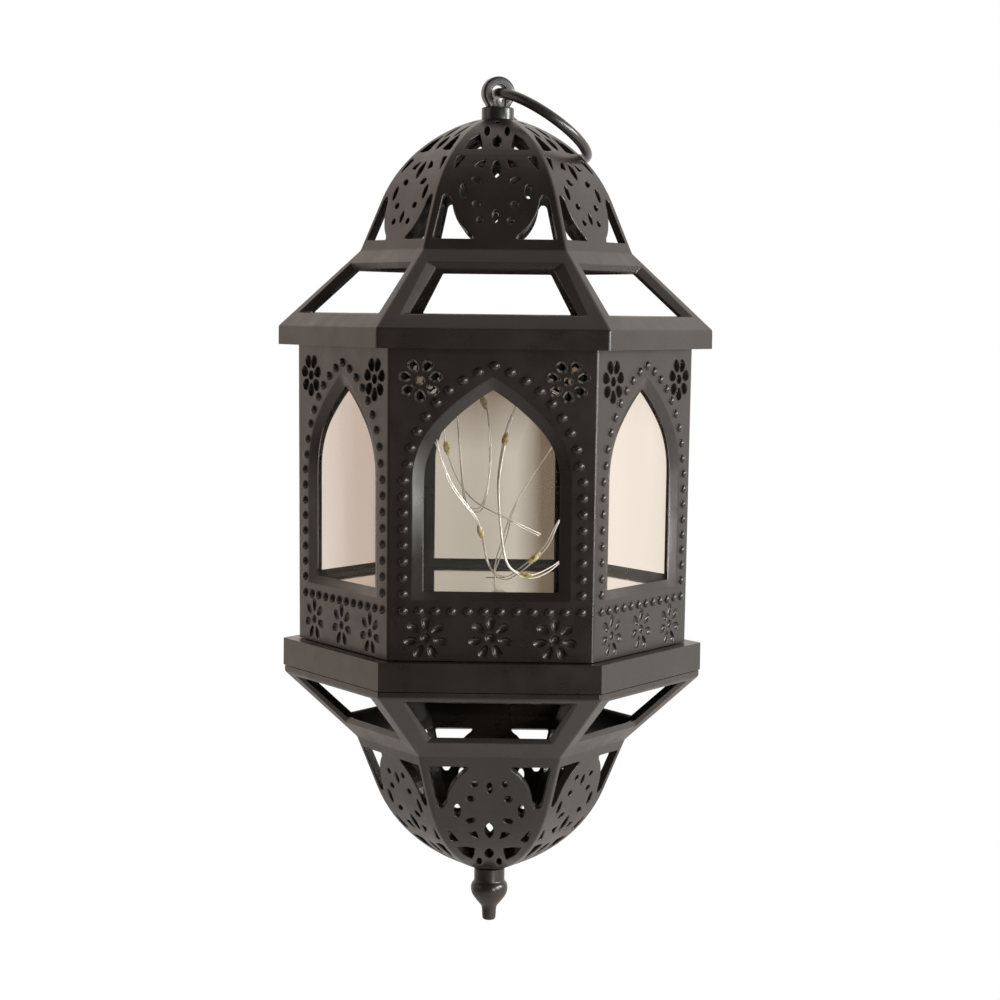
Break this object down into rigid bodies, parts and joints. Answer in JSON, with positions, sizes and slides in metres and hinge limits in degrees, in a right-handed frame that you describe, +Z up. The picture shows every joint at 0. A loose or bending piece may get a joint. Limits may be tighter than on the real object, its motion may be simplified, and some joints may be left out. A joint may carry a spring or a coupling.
{
  "type": "led candle lantern",
  "caption": "Hexagonal hanging lantern: pierced dome and bowl, arched windows, bevelled slopes, hanging ring, and a string of small battery lights inside.",
  "frame": {"origin": "centre of the hole in the hanging eye, where the lantern hangs", "axes": "+Z up along the lantern's axis, -Y out of the front arched window, +X to the right of that window"},
  "size_m": [0.1564, 0.1354, 0.3058],
  "materials": {
    "black_plastic": "satin, warm near-black",
    "black_metal": "satin black enamel",
    "steel": "zinc plated",
    "clear_film": "clear, slightly hazy warm film",
    "mirror_film": "mirror film on board",
    "box_plastic": "fine texture",
    "cell_jacket": "plain printed jacket, unmarked",
    "board": "solder mask",
    "switch_plastic": "moulded",
    "wire": "lacquered silvery copper",
    "lamp_resin": "clear pale yellow resin"
  },
  "bodies": {
    "lantern": {"roof": "black_plastic", "hanging_eye": "black_metal", "eye_washer": "steel", "eye_nut": "steel", "body_shell": "black_plastic", "window_pane_1": "clear_film", "window_pane_2": "clear_film", "window_pane_3": "clear_film", "window_pane_4": "clear_film", "window_pane_5": "clear_film", "window_pane_6": "clear_film", "base_tray": "black_plastic", "mirror_floor": "mirror_film", "battery_box": "box_plastic", "box_screw_1": "steel", "box_screw_2": "steel", "box_screw_3": "steel", "box_screw_4": "steel", "battery_1": "cell_jacket", "battery_2": "cell_jacket", "battery_3": "cell_jacket", "contact_1": "steel", "contact_2": "steel", "contact_3": "steel", "contact_4": "steel", "circuit_board": "board", "slide_switch": "switch_plastic", "lamp_lead": "wire", "light_wire": "wire", "lamp_1": "lamp_resin", "lamp_2": "lamp_resin", "lamp_3": "lamp_resin", "lamp_4": "lamp_resin", "lamp_5": "lamp_resin", "lamp_6": "lamp_resin", "lamp_7": "lamp_resin", "lamp_8": "lamp_resin", "lamp_9": "lamp_resin"},
    "ring": {"hanging_ring": "black_metal"},
    "bowl": {"lower_bowl": "black_plastic", "finial": "black_plastic", "finial_screw": "steel"},
    "cover": {"battery_cover": "box_plastic"},
    "switch": {"switch_knob": "switch_plastic"}
  },
  "joints": [
    {"name": "ring_swing", "type": "hinge", "parent": "lantern", "child": "ring", "pos_m": [0, 0, 0], "axis": [0.342, -0.9397, 0], "range_deg": [0, 248]},
    {"name": "bowl_release", "type": "slide", "parent": "lantern", "child": "bowl", "axis": [0, 0, -1], "range_m": [0, 0.06]},
    {"name": "cover_hinge", "type": "hinge", "parent": "lantern", "child": "cover", "pos_m": [0, 0.0236, -0.1927], "axis": [1, 0, 0], "range_deg": [0, 95]},
    {"name": "switch_slide", "type": "slide", "parent": "lantern", "child": "switch", "axis": [1, 0, 0], "range_m": [0, 0.004]}
  ]
}
